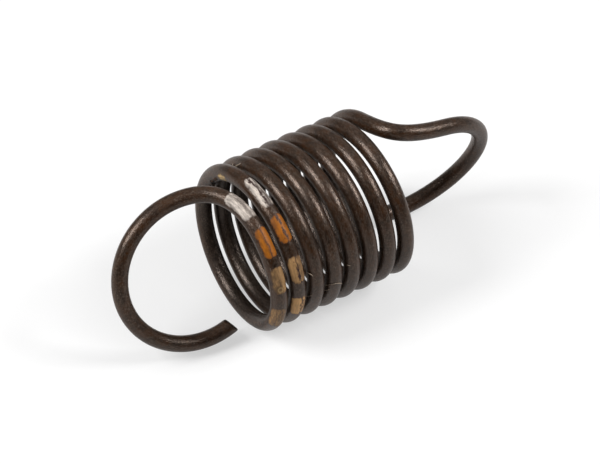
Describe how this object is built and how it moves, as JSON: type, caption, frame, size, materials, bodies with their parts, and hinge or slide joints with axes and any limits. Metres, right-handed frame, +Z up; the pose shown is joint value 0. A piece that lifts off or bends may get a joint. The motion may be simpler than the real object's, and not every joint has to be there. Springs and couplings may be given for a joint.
{
  "type": "extension spring",
  "caption": "Open-wound extension spring of round wire, lying on its coil, with a full hook bent up at each end and sheared wire ends.",
  "frame": {"origin": "on the surface that the spring lies on, under the centre of its box", "axes": "+X along the coil's axis from the front hook to the back hook, +Z up from the surface, +Y to the left of +X"},
  "size_m": [0.0528, 0.021, 0.0217],
  "materials": {
    "wire": "dark brown oil-tempered wire with a dull sheen, silver, orange and tan paint dabs on the first turns"
  },
  "bodies": {
    "root": {"spring": "wire"}
  },
  "joints": []
}
